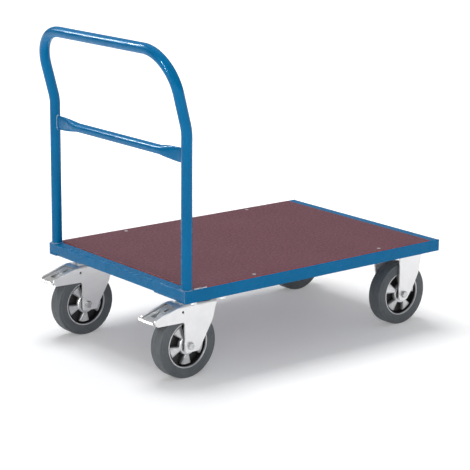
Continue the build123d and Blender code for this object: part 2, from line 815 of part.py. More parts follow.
os.makedirs("parts", exist_ok=True)
nodes = build_nodes()
for name, shape in nodes.items():
    export_step(Pos(rear_face_x, 0, 0) * shape, f"parts/{name}.step")
print(len(nodes), "nodes; rear face at x =", rear_face_x)
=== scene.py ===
# %% [markdown]
# # A push-bar platform cart
# The cart has a steel frame with a plywood deck, a bent tube handle and four casters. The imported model
# already holds every part in its true place, in metres. This lesson loads it, gives each part its finish,
# and replaces the parts whose curved or cast shapes show best as finer surfaces.

# %% Load the cart
import json
import math

import bmesh
import bpy
import numpy as np
from mathutils import Matrix, Vector

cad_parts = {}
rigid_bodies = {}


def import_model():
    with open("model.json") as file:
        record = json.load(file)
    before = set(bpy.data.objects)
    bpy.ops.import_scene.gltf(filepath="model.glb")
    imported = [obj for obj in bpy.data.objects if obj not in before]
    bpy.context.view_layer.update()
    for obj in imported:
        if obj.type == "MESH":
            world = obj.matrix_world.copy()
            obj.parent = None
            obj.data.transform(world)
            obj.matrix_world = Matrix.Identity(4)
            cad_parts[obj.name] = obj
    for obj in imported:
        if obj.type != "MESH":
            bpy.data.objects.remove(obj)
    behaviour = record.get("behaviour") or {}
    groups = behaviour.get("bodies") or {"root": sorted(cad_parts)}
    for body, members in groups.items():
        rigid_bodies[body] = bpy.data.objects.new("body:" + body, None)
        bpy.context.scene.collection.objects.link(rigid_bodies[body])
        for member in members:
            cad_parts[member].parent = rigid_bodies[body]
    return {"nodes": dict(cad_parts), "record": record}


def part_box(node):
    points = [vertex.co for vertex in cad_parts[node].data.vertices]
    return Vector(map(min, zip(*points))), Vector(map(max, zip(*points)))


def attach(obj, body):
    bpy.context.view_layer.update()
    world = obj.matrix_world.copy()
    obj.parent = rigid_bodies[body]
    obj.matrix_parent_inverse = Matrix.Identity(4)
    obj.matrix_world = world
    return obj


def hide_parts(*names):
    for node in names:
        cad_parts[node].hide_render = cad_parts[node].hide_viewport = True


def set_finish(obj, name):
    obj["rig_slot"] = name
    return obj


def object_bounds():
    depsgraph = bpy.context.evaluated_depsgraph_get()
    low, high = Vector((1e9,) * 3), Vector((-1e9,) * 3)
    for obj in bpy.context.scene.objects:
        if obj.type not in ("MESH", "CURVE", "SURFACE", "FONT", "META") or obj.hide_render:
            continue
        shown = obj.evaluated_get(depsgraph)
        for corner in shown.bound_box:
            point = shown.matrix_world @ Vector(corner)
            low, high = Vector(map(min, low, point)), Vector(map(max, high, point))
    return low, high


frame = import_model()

cad_box = [list(corner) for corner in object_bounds()]
sides = {"right": -1, "left": 1}
print("CAD box", cad_box)

# %% [markdown]
# ## The camera
# The cart is seen from its handle end and its right side, from a little above, through a long lens. Aiming
# at a point and stepping back from it is easier to adjust than a position and three angles. The lens shift
# lets the camera look a little less steeply down while the handle stays in view.

# %% Camera
view_turn = math.radians(51.06)
view_drop = math.radians(13.05)
view_roll = math.radians(0.55)
view_distance = 5.163
lens_millimetres = 128.2
lens_shift = (-0.0106, -0.068)
aim_offset = Vector((-0.0125, -0.018, -0.073))

low, high = (Vector(corner) for corner in cad_box)
aim = (low + high) / 2 + aim_offset
ahead = Vector((math.cos(view_drop) * math.cos(view_turn),
                math.cos(view_drop) * math.sin(view_turn),
                -math.sin(view_drop)))
camera_data = bpy.data.cameras.new("camera")
camera_data.lens = lens_millimetres
camera_data.shift_x, camera_data.shift_y = lens_shift
camera = bpy.data.objects.new("camera", camera_data)
level = ahead.to_track_quat("-Z", "Y").to_matrix().to_4x4()
tilt = Matrix.Rotation(view_roll, 4, "Z")
camera.matrix_world = Matrix.Translation(aim - ahead * view_distance) @ level @ tilt
bpy.context.scene.collection.objects.link(camera)
bpy.context.scene.camera = camera
print("camera at", camera.matrix_world.translation)

# %% [markdown]
# ## Studio floor
# The cart stands on one large pale sheet, so the camera sees only floor around it. The standard view
# transform shows colours as they are given, which suits a plain catalogue look. The floor gets its finish
# near the end, with the other finishes.

# %% Floor
scene = bpy.context.scene
scene.view_settings.view_transform = "Standard"
scene.view_settings.look = "None"

floor_reach = 40
floor_corners = [(-floor_reach, -floor_reach, 0), (floor_reach, -floor_reach, 0),
                 (floor_reach, floor_reach, 0), (-floor_reach, floor_reach, 0)]
floor_mesh = bpy.data.meshes.new("floor")
floor_mesh.from_pydata(floor_corners, [], [(0, 1, 2, 3)])
floor = bpy.data.objects.new("floor", floor_mesh)
scene.collection.objects.link(floor)

# %% [markdown]
# ## The room
# A world with no objects in it stands in for the room. The camera sees plain white, while light and
# reflections see a softer room that is darker near the ground and brighter overhead. That gradient is what
# gives the paint and the zinc their shading, and a mix by Light Path keeps the two apart.

# %% Room
room_strength = 0.55
room_low = (0.02, (0.22, 0.22, 0.23, 1))
room_high = (0.75, (0.9, 0.9, 0.9, 1))

world = bpy.data.worlds.new("studio")
world.use_nodes = True
world_tree = world.node_tree
backdrop = world_tree.nodes["Background"]
backdrop.inputs["Color"].default_value = (1, 1, 1, 1)
backdrop.inputs["Strength"].default_value = 1.0
room = world_tree.nodes.new("ShaderNodeBackground")
room.inputs["Strength"].default_value = room_strength
seen = world_tree.nodes.new("ShaderNodeLightPath")
choose = world_tree.nodes.new("ShaderNodeMixShader")
world_tree.links.new(seen.outputs["Is Camera Ray"], choose.inputs["Fac"])
world_tree.links.new(room.outputs["Background"], choose.inputs[1])
world_tree.links.new(backdrop.outputs["Background"], choose.inputs[2])
world_tree.links.new(choose.outputs["Shader"], world_tree.nodes["World Output"].inputs["Surface"])
direction = world_tree.nodes.new("ShaderNodeTexCoord")
split = world_tree.nodes.new("ShaderNodeSeparateXYZ")
shade = world_tree.nodes.new("ShaderNodeValToRGB")
for stop, (position, colour) in zip(shade.color_ramp.elements, (room_low, room_high)):
    stop.position = position
    stop.color = colour
world_tree.links.new(direction.outputs["Generated"], split.inputs["Vector"])
world_tree.links.new(split.outputs["Z"], shade.inputs["Fac"])
world_tree.links.new(shade.outputs["Color"], room.inputs["Color"])
scene.world = world

# %% [markdown]
# ## Lamps
# Two kinds of lamp do two jobs. Big soft lamps light the cart and throw its shadow, but don't show in the
# gloss, because a broad reflection would wash the blue out. Narrow strips light nothing and show only as the
# bright lines along the round tubes.

# %% Lamps
lamp_target = Vector((0, 0, 0.4))


def soft_light(name, place, width, height, power, lights=True, mirrored=True):
    """A rectangular lamp at a place, turned to the middle of the cart. It can light the scene, show as a
    highlight on gloss and metal, or both."""
    lamp_data = bpy.data.lights.new(name, "AREA")
    lamp_data.shape = "RECTANGLE"
    lamp_data.size = width
    lamp_data.size_y = height
    lamp_data.energy = power
    lamp = bpy.data.objects.new(name, lamp_data)
    place = Vector(place)
    turn = (lamp_target - place).to_track_quat("-Z", "Y").to_matrix().to_4x4()
    lamp.matrix_world = Matrix.Translation(place) @ turn
    lamp.visible_diffuse = lights
    lamp.visible_glossy = mirrored
    scene.collection.objects.link(lamp)


soft_light("overhead", (0.0, 0.9, 4.2), 2.2, 2.2, 128, mirrored=False)
soft_light("front", (-3.2, -4.0, 2.0), 2.6, 2.6, 62, mirrored=False)
soft_light("bar strip", (-1.7, 2.5, 2.6), 0.20, 1.3, 105, lights=False)
soft_light("corner strip", (-3.4, -0.5, 1.55), 0.32, 1.4, 170, lights=False)

# %% [markdown]
# ## Surfaces from arrays
# Every new piece is a grid of points worked out with numpy. A grid becomes faces by joining each point to
# its neighbours. Where the surface closes on itself the last row or column joins the first one, and the
# sign of the enclosed volume tells whether the faces look outwards.

# %% From grids to surfaces
def grid_faces(rows, columns, wrap_rows, wrap_columns):
    """Four corners of each face: point (i, j) of the grid is number i * columns + j."""
    row_starts = np.arange(rows - (not wrap_rows))
    column_starts = np.arange(columns - (not wrap_columns))
    i, j = np.meshgrid(row_starts, column_starts, indexing="ij")
    i_next, j_next = (i + 1) % rows, (j + 1) % columns
    corners = [i * columns + j, i_next * columns + j, i_next * columns + j_next, i * columns + j_next]
    return np.stack(corners, axis=-1).reshape(-1, 4)


def enclosed_volume(points, faces):
    """Six times the volume: the sum of the triple products of each face's corners, seen from their middle."""
    centred = points - points.mean(axis=0)
    a, b, c, d = (centred[faces[:, k]] for k in range(4))
    return (np.cross(b - a, c - a) * a).sum() + (np.cross(c - a, d - a) * a).sum()


def surface(grid, wrap_rows=False, wrap_columns=True, closed_ends=False):
    """Points and outward faces of one closed surface. closed_ends draws the first and last row to a point."""
    if closed_ends:
        first = np.broadcast_to(grid[0].mean(axis=0), grid[0].shape)
        last = np.broadcast_to(grid[-1].mean(axis=0), grid[-1].shape)
        grid = np.concatenate([first[None], grid, last[None]])
    rows, columns = grid.shape[:2]
    points = grid.reshape(-1, 3)
    faces = grid_faces(rows, columns, wrap_rows, wrap_columns)
    if enclosed_volume(points, faces) < 0:
        faces = faces[:, ::-1]
    return points, faces


# %% [markdown]
# A piece can be several closed surfaces in one mesh, such as all the welds. Drawing an end to a point puts
# many points in one place, so the mesh is cleaned of doubles before it is shaded smooth. A piece then says
# which body it moves with, which slot gives its finish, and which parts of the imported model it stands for.

# %% From surfaces to pieces
merge_distance = 1e-6
vanished_edge = 1e-7


def merge_doubles(mesh):
    """Merges points that fall together at poles, and drops the faces that vanish there."""
    work = bmesh.new()
    work.from_mesh(mesh)
    bmesh.ops.remove_doubles(work, verts=work.verts, dist=merge_distance)
    bmesh.ops.dissolve_degenerate(work, edges=work.edges, dist=vanished_edge)
    work.to_mesh(mesh)
    work.free()


def make_piece(name, surfaces, body, slot, nodes, attribute=None, sharp=35):
    """One smooth-shaded mesh object from several surfaces, riding on a body in place of CAD nodes. Edges
    that turn by more than sharp degrees stay crisp, and attribute is a value for each point."""
    starts = np.cumsum([0] + [len(points) for points, _ in surfaces])
    points = np.concatenate([points for points, _ in surfaces])
    faces = np.concatenate([faces + start for (_, faces), start in zip(surfaces, starts)])
    mesh = bpy.data.meshes.new(name)
    mesh.from_pydata(points.tolist(), [], faces.tolist())
    if attribute is not None:
        layer = mesh.attributes.new("mask", "FLOAT", "POINT")
        layer.data.foreach_set("value", attribute.astype(np.float32))
    merge_doubles(mesh)
    mesh.shade_smooth()
    mesh.set_sharp_from_angle(angle=math.radians(sharp))
    piece = bpy.data.objects.new(name, mesh)
    scene.collection.objects.link(piece)
    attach(piece, body)
    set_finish(piece, slot)
    if nodes:
        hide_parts(*nodes)
    print(name, len(mesh.polygons), "faces")


# %% [markdown]
# ## Rounded lines
# Bent tubes and turned profiles are both drawn as straight runs joined by arcs. An arc that touches two
# sides is found from the angle between them, so only the corners and their radii have to be listed. A
# radius of 0 keeps a corner as it is, which also suits the free ends of a path.

# %% Rounded outline
def rounded_outline(corners, radii, steps):
    """A polyline whose corners are replaced by arcs: each arc runs between the points where it touches the
    two sides, at the distance radius / tan(half the angle between them) from the corner."""
    corners = np.asarray(corners, float)
    count = len(corners)
    runs = []
    for k, radius in enumerate(radii):
        corner = corners[k]
        before = corners[k - 1] - corner
        after = corners[(k + 1) % count] - corner
        before /= np.linalg.norm(before)
        after /= np.linalg.norm(after)
        if radius == 0:
            runs.append(corner[None])
            continue
        half = math.acos(np.clip(before @ after, -1, 1)) / 2
        reach = radius / math.tan(half)
        middle = (before + after) / np.linalg.norm(before + after)
        centre = corner + middle * radius / math.sin(half)
        start, stop = corner + before * reach - centre, corner + after * reach - centre
        angle = math.pi - 2 * half
        t = np.linspace(0, 1, steps)[:, None]
        arc = (np.sin((1 - t) * angle) * start + np.sin(t * angle) * stop) / math.sin(angle)
        runs.append(centre + arc)
    return np.concatenate(runs)


# %% [markdown]
# ## Push handle
# The handle is one steel tube bent four times: two uprights, a bend where they lean back, and two round
# corners into the grip bar. A circle carried along that path is the whole piece. The circle needs a steady
# direction to start from, so that the tube doesn't twist: square to the plane that the lean and the grip
# bar lie in.

# %% Handle path
tube_radius = 0.016
bend_radius = 0.140
corner_radius = 0.119
lean_angle = math.radians(15)
lean_length = 0.227
bend_steps = 24
longest_step = 0.05

handle_low, handle_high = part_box("push_handle")
handle_x = handle_high.x - tube_radius
handle_y = handle_high.y - tube_radius
foot_z = handle_low.z
grip_z = handle_high.z - tube_radius
grip_x = handle_low.x + tube_radius
bend_z = grip_z - lean_length * math.cos(lean_angle)


def fill_runs(path, spacing):
    """The path with extra points on its straight runs, so that its steps are about spacing or shorter."""
    pieces = [path[:1]]
    for start, stop in zip(path[:-1], path[1:]):
        count = max(1, int(np.linalg.norm(stop - start) / spacing))
        t = np.linspace(0, 1, count + 1)[1:, None]
        pieces.append(start + (stop - start) * t)
    return np.concatenate(pieces)


handle_corners = [
    (handle_x, -handle_y, foot_z),
    (handle_x, -handle_y, bend_z),
    (grip_x, -handle_y, grip_z),
    (grip_x, handle_y, grip_z),
    (handle_x, handle_y, bend_z),
    (handle_x, handle_y, foot_z),
]
handle_radii = [0, bend_radius, corner_radius, corner_radius, bend_radius, 0]
handle_path = fill_runs(rounded_outline(handle_corners, handle_radii, bend_steps), longest_step)
handle_length = np.linalg.norm(np.diff(handle_path, axis=0), axis=1).sum()
print("handle tube", round(handle_length, 3), "m long")


# %% Handle tube
def carry_circle(path, steady, radius, count):
    """Tube: centre + radius * (cos(a) * u + sin(a) * v), where v is square to the path and to u."""
    along = np.gradient(path, axis=0)
    along /= np.linalg.norm(along, axis=1, keepdims=True)
    u = steady - (steady * along).sum(axis=1, keepdims=True) * along
    u /= np.linalg.norm(u, axis=1, keepdims=True)
    v = np.cross(along, u)
    angle = np.linspace(0, 2 * np.pi, count, endpoint=False)
    turned = np.cos(angle)[None, :, None] * u[:, None] + np.sin(angle)[None, :, None] * v[:, None]
    return path[:, None] + radius * turned


tube_count = 48
lean_normal = np.array([math.cos(lean_angle), 0, math.sin(lean_angle)])
steady = np.broadcast_to(lean_normal, handle_path.shape)
handle_grid = carry_circle(handle_path, steady, tube_radius, tube_count)
push_handle = surface(handle_grid, closed_ends=True)
make_piece("push_handle_tube", [push_handle], "frame", "blue_paint", ["push_handle"])

# %% [markdown]
# ## Crossbar
# The crossbar is a round tube whose ends are pressed flat and tall before they are welded between the
# uprights. Its section is an ellipse whose two half axes change along the bar, and the last rows are moved
# on to the upright's round surface, which is how a fitter copes the end.

# %% Crossbar
bar_low, bar_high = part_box("handle_crossbar")
bar_z = (bar_low.z + bar_high.z) / 2
bar_radius = 0.014
end_thin = 0.0034
end_tall = 0.0215
round_half = 0.215
press_start = round_half - 0.005
press_stop = round_half + 0.085


def smooth_step(value, start, stop):
    """0 before start, 1 after stop, and 3t^2 - 2t^3 between them."""
    t = np.clip((value - start) / (stop - start), 0, 1)
    return t * t * (3 - 2 * t)


def crossbar_grid():
    """Ellipses across Y: thin = bar radius going over to the pressed thickness, tall the other way."""
    rows = np.concatenate([np.linspace(-1, 1, 81) * handle_y, [-round_half, round_half]])
    y = np.unique(rows)[:, None]
    angle = np.linspace(0, 2 * np.pi, tube_count, endpoint=False)[None]
    pressed = smooth_step(np.abs(y), press_start, press_stop)
    thin = bar_radius + (end_thin - bar_radius) * pressed
    tall = bar_radius + (end_tall - bar_radius) * np.sqrt(pressed)
    x = thin * np.cos(angle)
    z = tall * np.sin(angle)
    reach = handle_y - np.sqrt(tube_radius ** 2 - x ** 2)
    coped = np.clip(np.broadcast_to(y, x.shape), -reach, reach)
    return np.stack([handle_x + x, coped, bar_z + z], axis=-1)


crossbar = surface(crossbar_grid(), closed_ends=True)
make_piece("handle_crossbar_tube", [crossbar], "frame", "blue_paint", ["handle_crossbar"])

# %% [markdown]
# ## Weld beads
# Each upright is welded to the end beam all round its foot, and the crossbar's pressed ends to the uprights.
# A weld bead is a small rounded seam with ripples, one for each drop of metal. A closed path around the
# joint carries a little circle whose radius swells and shrinks along it. The frame's four upright corners
# are welded too and ground nearly flush, so they are thin, straight seams.

# %% Beads round the feet and the crossbar's ends
bead_count = 12
bead_lift = 0.0008
ripple_depth = 0.12
foot_bead = 0.0024
foot_ripples = 34
bar_bead = 0.0022
bar_bead_gap = 0.0012
bar_ripples = 30
rail_wall = 0.005
bead_inset = 0.0004
beam_low, beam_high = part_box("end_beam_rear")
across_x, across_y, across_z = np.eye(3)


def bead_grid(path, normal, radius, ripples):
    """Circle carried round a closed path; radius * (1 + depth * cos(ripples * turn)) makes the ripples."""
    along = np.roll(path, -1, axis=0) - np.roll(path, 1, axis=0)
    along /= np.linalg.norm(along, axis=1, keepdims=True)
    v = np.cross(along, normal)
    v /= np.linalg.norm(v, axis=1, keepdims=True)
    w = np.cross(along, v)
    turn = np.linspace(0, 2 * np.pi, len(path), endpoint=False)
    swell = radius * (1 + ripple_depth * np.cos(ripples * turn))[:, None, None]
    angle = np.linspace(0, 2 * np.pi, bead_count, endpoint=False)
    circle = np.cos(angle)[None, :, None] * v[:, None] + np.sin(angle)[None, :, None] * w[:, None]
    return path[:, None] + swell * circle


beads = []
bead_y = beam_high.y + rail_wall - bead_inset
turn = np.linspace(0, 2 * np.pi, 240, endpoint=False)
for side in sides.values():
    foot = np.stack([handle_x + (tube_radius + bead_lift) * np.cos(turn),
                     side * handle_y + (tube_radius + bead_lift) * np.sin(turn),
                     np.full_like(turn, foot_z + bead_lift)], axis=-1)
    bead = bead_grid(foot, across_z, foot_bead, foot_ripples)
    bead[..., 0] = np.clip(bead[..., 0], beam_low.x + bead_inset, beam_high.x - bead_inset)
    bead[..., 1] = np.clip(bead[..., 1], -bead_y, bead_y)
    beads.append(surface(bead, wrap_rows=True))
    x = (end_thin + bar_bead_gap) * np.cos(turn)
    z = (end_tall + bead_lift) * np.sin(turn)
    reach = handle_y - np.sqrt(tube_radius ** 2 - x ** 2) - bead_inset
    collar = np.stack([handle_x + x, side * reach, bar_z + z], axis=-1)
    beads.append(surface(bead_grid(collar, across_y, bar_bead, bar_ripples), wrap_rows=True))

# %% Corner seams of the frame
seam_radius = 0.0012
rail_low, rail_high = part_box("side_rail_right")
for x in (beam_low.x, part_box("end_beam_front")[1].x):
    for side in sides.values():
        z = np.linspace(rail_low.z + seam_radius, rail_high.z - seam_radius, 40)
        corner = np.stack([np.full_like(z, x), np.full_like(z, side * beam_high.y), z], axis=-1)
        steady = np.broadcast_to(across_x, corner.shape)
        beads.append(surface(carry_circle(corner, steady, seam_radius, bead_count), closed_ends=True))
make_piece("weld_seams", beads, "frame", "blue_paint", ["weld_beads"])

# %% [markdown]
# ## Seams with a painted highlight beside the uprights
# On top of each rail, just beyond the rear beam, lies a short weld seam. Its near-white colour is a painted
# highlight, the thin pale line where the light catches it. It is its own piece because it has its own
# finish: the same circle carried along a straight line, with ripples added to its radius afterwards.

# %% Seams with a painted highlight
highlight_seam_radius = 0.0020
highlight_seam_ripple = 0.0004
highlight_seam_ripples = 19
highlight_seam_start, highlight_seam_stop = beam_high.x + 0.002, beam_high.x + 0.046
highlight_seam_y = beam_high.y - highlight_seam_radius - 0.0006
painted_highlight_seams = []
for side in sides.values():
    x = np.linspace(highlight_seam_start, highlight_seam_stop, 60)
    line = np.stack([x, np.full_like(x, side * highlight_seam_y), np.full_like(x, rail_high.z)], axis=-1)
    bead = carry_circle(line, np.broadcast_to(across_z, line.shape), highlight_seam_radius, bead_count)
    share = (x - x[0]) / (x[-1] - x[0])
    ripple = highlight_seam_ripple * np.cos(2 * np.pi * highlight_seam_ripples * share)[:, None, None]
    bead += ripple * (bead - line[:, None]) / highlight_seam_radius
    painted_highlight_seams.append(surface(bead, closed_ends=True))
# Near-white finish on these seams: a painted highlight.
make_piece("painted_highlight_seams", painted_highlight_seams, "frame", "zinc_plate", [])

# %% [markdown]
# ## Tyres
# A caster wheel has a cushioned rubber tyre on a cast rim. The tyre is half an outline, mirrored at the
# middle of the tread and turned about the axle. The outline holds what catches the light: the bead that
# stands at the rim, the step at the shoulder, the rounded tread, and the fine groove where the two halves
# of the mould met.

# %% Tyre
tyre_seat = 0.069
wheel_radius = 0.100
tyre_half = 0.024
shoulder_step = 0.0012
parting_depth = 0.0007
tyre_count = 160


def tyre_outline():
    """Outline of (radius, offset) from the seat over the shoulder to the middle of the tread, and back."""
    corners_and_radii = [
        ((tyre_seat, 0.0), 0),
        ((tyre_seat, tyre_half - 0.0006), 0.0005),
        ((tyre_seat + 0.0025, tyre_half), 0.0015),
        ((tyre_seat + 0.0205, tyre_half), 0.0012),
        ((tyre_seat + 0.0222, tyre_half - shoulder_step), 0.0006),
        ((wheel_radius - 0.0012, tyre_half - shoulder_step), 0.0022),
        ((wheel_radius, tyre_half - 0.0080), 0.0060),
        ((wheel_radius, 0.0012), 0.0004),
        ((wheel_radius - parting_depth, 0.0006), 0.0002),
        ((wheel_radius - parting_depth, 0.0), 0),
    ]
    corners, radii = zip(*corners_and_radii)
    half = rounded_outline(corners, radii, 7)[1:-1]
    return np.concatenate([half, half[::-1] * np.array([1.0, -1.0])])


def turned(outline, centre, count):
    """Outline of (radius, offset) turned about the axle: x = radius cos, z = radius sin, y = offset."""
    angle = np.linspace(0, 2 * np.pi, count, endpoint=False)[None]
    radius, offset = outline[:, :1], outline[:, 1:]
    return np.stack([centre.x + radius * np.cos(angle),
                     np.broadcast_to(centre.y + offset, (len(outline), count)),
                     centre.z + radius * np.sin(angle)], axis=-1)


wheels = {}
for kind in ("swivel", "fixed"):
    for side in sides:
        tyre_low, tyre_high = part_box(f"tyre_{kind}_{side}")
        wheels[kind, side] = (tyre_low + tyre_high) / 2
for (kind, side), centre in wheels.items():
    tyre = surface(turned(tyre_outline(), centre, tyre_count), wrap_rows=True)
    make_piece(f"tyre_look_{kind}_{side}", [tyre], f"wheel_{kind}_{side}", "tyre_rubber",
               [f"tyre_{kind}_{side}"], sharp=50)

# %% [markdown]
# ## Rims
# The rim's two faces are heights over a polar grid: a hub boss, a deep web, five spokes that widen towards
# the rim, and a raised lip. Smooth steps between the heights give the draft and fillets of a casting. The
# same heights say where the face is coloured black: everything that lies lower than the spokes. The sides
# of the spokes are partly darkened too, as painted shade. The grid's rings stand closest together where
# the height changes fastest.

# %% Rim faces
bearing_radius = 0.0235
hub_radius = 0.029
hub_height = 0.0240
web_height = 0.0045
lip_height = 0.0235
spoke_count = 5
spoke_turn = {"swivel": math.radians(52), "fixed": math.radians(12)}
rim_rings = np.unique(np.round(np.concatenate([
    [bearing_radius, 0.0242],
    np.linspace(0.0275, 0.0345, 8),
    np.linspace(0.036, 0.056, 9),
    np.linspace(0.0575, 0.0655, 12),
    [0.0662, 0.0684, tyre_seat]]), 5))


def rim_face(turn, radius, angle):
    """Height of the rim's face above its middle plane, and how black it is. A spoke's height falls and its
    width grows in step with the radius, and the face is the highest of hub, spoke, web and lip. The spokes'
    sides are darkened as painted shade."""
    spoke_top = 0.0222 - 0.0065 * (radius - 0.026) / 0.0365
    spoke_half = 0.0058 + 0.0122 * np.clip((radius - 0.027) / 0.033, 0, 1.1)
    sector = 2 * np.pi / spoke_count
    across = radius * np.sin((angle - turn + sector / 2) % sector - sector / 2)
    spoke = 1 - smooth_step(np.abs(across), spoke_half - 0.0012, spoke_half + 0.0014)
    spoke = spoke * (1 - smooth_step(radius, 0.0590, 0.0606)) * np.ones_like(radius + angle)
    past_hub = smooth_step(radius, hub_radius - 0.0008, hub_radius + 0.0030)
    hub = hub_height - (hub_height - web_height) * past_hub
    before_lip = 1 - smooth_step(radius, 0.0626, 0.0660)
    lip = lip_height - (lip_height - web_height) * before_lip
    height = np.maximum(np.maximum(hub, lip), web_height + (spoke_top - web_height) * spoke)
    height = np.where(radius > tyre_seat - 0.0007, height - 0.0006, height)
    # Painted shade: a spoke is brightest along its middle and partly black towards its sides.
    painted_spoke_shade = spoke * (1 - 0.42 * smooth_step(np.abs(across) / spoke_half, 0.25, 0.95))
    bright_hub = 1 - smooth_step(radius, hub_radius, hub_radius + 0.0012)
    bright_lip = smooth_step(radius, 0.0650, 0.0656)
    bright = np.maximum(np.maximum(painted_spoke_shade, bright_hub), bright_lip)
    return height, 1 - np.clip(bright * 1.4 - 0.2, 0, 1)


# %% Rims
rim_count = 400


def rim_grid(kind, centre):
    """Near face from the bearing seat outwards, then the barrel, and the far face back inwards."""
    angle = np.linspace(0, 2 * np.pi, rim_count, endpoint=False)[None]
    radius = rim_rings[:, None]
    height, black = rim_face(spoke_turn[kind], radius, angle)
    x, z = centre.x + radius * np.cos(angle), centre.z + radius * np.sin(angle)
    near = np.stack([x, centre.y - height, z], axis=-1)
    far = np.stack([x, centre.y + height, z], axis=-1)
    grid = np.concatenate([near, far[::-1]])
    return grid, np.concatenate([black, black[::-1]]).reshape(-1)


for (kind, side), centre in wheels.items():
    grid, black = rim_grid(kind, centre)
    make_piece(f"rim_look_{kind}_{side}", [surface(grid, wrap_rows=True)], f"wheel_{kind}_{side}",
               "rim_aluminium", [f"rim_{kind}_{side}"], attribute=black, sharp=60)

# %% [markdown]
# ## Finishes
# A finish is a small net of nodes that feeds one shader. Two effects come back in most of them, so each is a
# node group: uneven tone, which is noise stretched between two values, and a fine skin, which is noise bent
# into the surface normal. Both read Object coordinates, so that a pattern stays on its part.

# %% Node helpers
def place_node(tree, kind, **values):
    """A node with its sockets or settings filled in; a socket's name has underscores for spaces."""
    node = tree.nodes.new(kind)
    for key, value in values.items():
        socket = node.inputs.get(key.replace("_", " "))
        if socket is not None:
            socket.default_value = value
        else:
            setattr(node, key, value)
    return node


def group_start(name, inputs, output, output_kind):
    """An empty group with float inputs and one output."""
    tree = bpy.data.node_groups.new(name, "ShaderNodeTree")
    for label, value in inputs.items():
        socket = tree.interface.new_socket(label, in_out="INPUT", socket_type="NodeSocketFloat")
        socket.default_value = value
    tree.interface.new_socket(output, in_out="OUTPUT", socket_type=output_kind)
    return tree, tree.nodes.new("NodeGroupInput"), tree.nodes.new("NodeGroupOutput")


# %% The two groups
def make_uneven_tone():
    """Noise of a given size, stretched between Low and High."""
    inputs = {"Scale": 20, "Low": 0, "High": 1}
    tree, enter, leave = group_start("uneven tone", inputs, "Value", "NodeSocketFloat")
    place = place_node(tree, "ShaderNodeTexCoord")
    noise = place_node(tree, "ShaderNodeTexNoise", Detail=5.0, Roughness=0.6)
    stretch = place_node(tree, "ShaderNodeMapRange", From_Min=0.3, From_Max=0.7)
    tree.links.new(place.outputs["Object"], noise.inputs["Vector"])
    tree.links.new(enter.outputs["Scale"], noise.inputs["Scale"])
    tree.links.new(noise.outputs["Fac"], stretch.inputs["Value"])
    tree.links.new(enter.outputs["Low"], stretch.inputs["To Min"])
    tree.links.new(enter.outputs["High"], stretch.inputs["To Max"])
    tree.links.new(stretch.outputs["Result"], leave.inputs["Value"])
    return tree


def make_fine_skin():
    """Noise of a given size as a bump of a given depth in metres."""
    inputs = {"Scale": 400, "Depth": 0.0001}
    tree, enter, leave = group_start("fine skin", inputs, "Normal", "NodeSocketVector")
    place = place_node(tree, "ShaderNodeTexCoord")
    noise = place_node(tree, "ShaderNodeTexNoise", Detail=3.0, Roughness=0.55)
    bump = place_node(tree, "ShaderNodeBump", Strength=1.0)
    tree.links.new(place.outputs["Object"], noise.inputs["Vector"])
    tree.links.new(enter.outputs["Scale"], noise.inputs["Scale"])
    tree.links.new(enter.outputs["Depth"], bump.inputs["Distance"])
    tree.links.new(noise.outputs["Fac"], bump.inputs["Height"])
    tree.links.new(bump.outputs["Normal"], leave.inputs["Normal"])
    return tree


uneven_tone = make_uneven_tone()
fine_skin = make_fine_skin()


# %% A finish
class Finish:
    """A material with its shader, and short ways to add the two effects."""

    def __init__(self, name, **values):
        self.material = bpy.data.materials.new(name)
        self.material.use_nodes = True
        self.tree = self.material.node_tree
        self.shader = self.tree.nodes["Principled BSDF"]
        for key, value in values.items():
            self.shader.inputs[key.replace("_", " ")].default_value = value
        print("finish:", name)

    def link(self, source, target):
        """Joins an output to a socket, or to the shader's socket of that name."""
        self.tree.links.new(source, self.shader.inputs[target] if isinstance(target, str) else target)

    def tone(self, scale, low, high):
        """The uneven tone's value."""
        node = place_node(self.tree, "ShaderNodeGroup", node_tree=uneven_tone)
        for label, value in (("Scale", scale), ("Low", low), ("High", high)):
            node.inputs[label].default_value = value
        return node.outputs["Value"]

    def mix(self, factor, first, second):
        """A colour between two colours; each is a colour or a socket."""
        node = place_node(self.tree, "ShaderNodeMix", data_type="RGBA")
        self.tree.links.new(factor, node.inputs[0])
        for index, colour in ((6, first), (7, second)):
            if isinstance(colour, bpy.types.NodeSocket):
                self.tree.links.new(colour, node.inputs[index])
            else:
                node.inputs[index].default_value = (*colour, 1)
        return node.outputs[2]

    def skin(self, scale, depth):
        """The fine skin in the shader's normal."""
        node = place_node(self.tree, "ShaderNodeGroup", node_tree=fine_skin)
        node.inputs["Scale"].default_value = scale
        node.inputs["Depth"].default_value = depth
        self.link(node.outputs["Normal"], "Normal")


# %% [markdown]
# ### Blue powder coat
# Powder coat is a smooth plastic skin with a faint orange peel. A plain glossy shader would mirror the pale
# room and turn the blue grey, so the gloss is weak and tinted blue, and a thin clear coat adds the crisp
# lines along the tubes.

# %% Blue powder coat
blue = Finish("blue powder coat", Coat_Weight=0.12, Coat_Roughness=0.05, Specular_IOR_Level=0.12,
              Specular_Tint=(0.08, 0.5, 1.0, 1))
blue.link(blue.mix(blue.tone(9, 0, 1), (0.0006, 0.124, 0.292), (0.0012, 0.143, 0.336)), "Base Color")
blue.link(blue.tone(30, 0.22, 0.32), "Roughness")
blue.skin(350, 0.000003)

# %% [markdown]
# ### Faced plywood
# The deck is plywood faced with a brown phenolic film, pressed with a fine grain. Small noise gives the
# grain, large noise gives faint clouds, and the peaks of a third noise give the few pale specks. The sawn
# edges are sealed with orange-red paint, and they are found by height: every point that lies between the
# deck's two faces, and not on them.

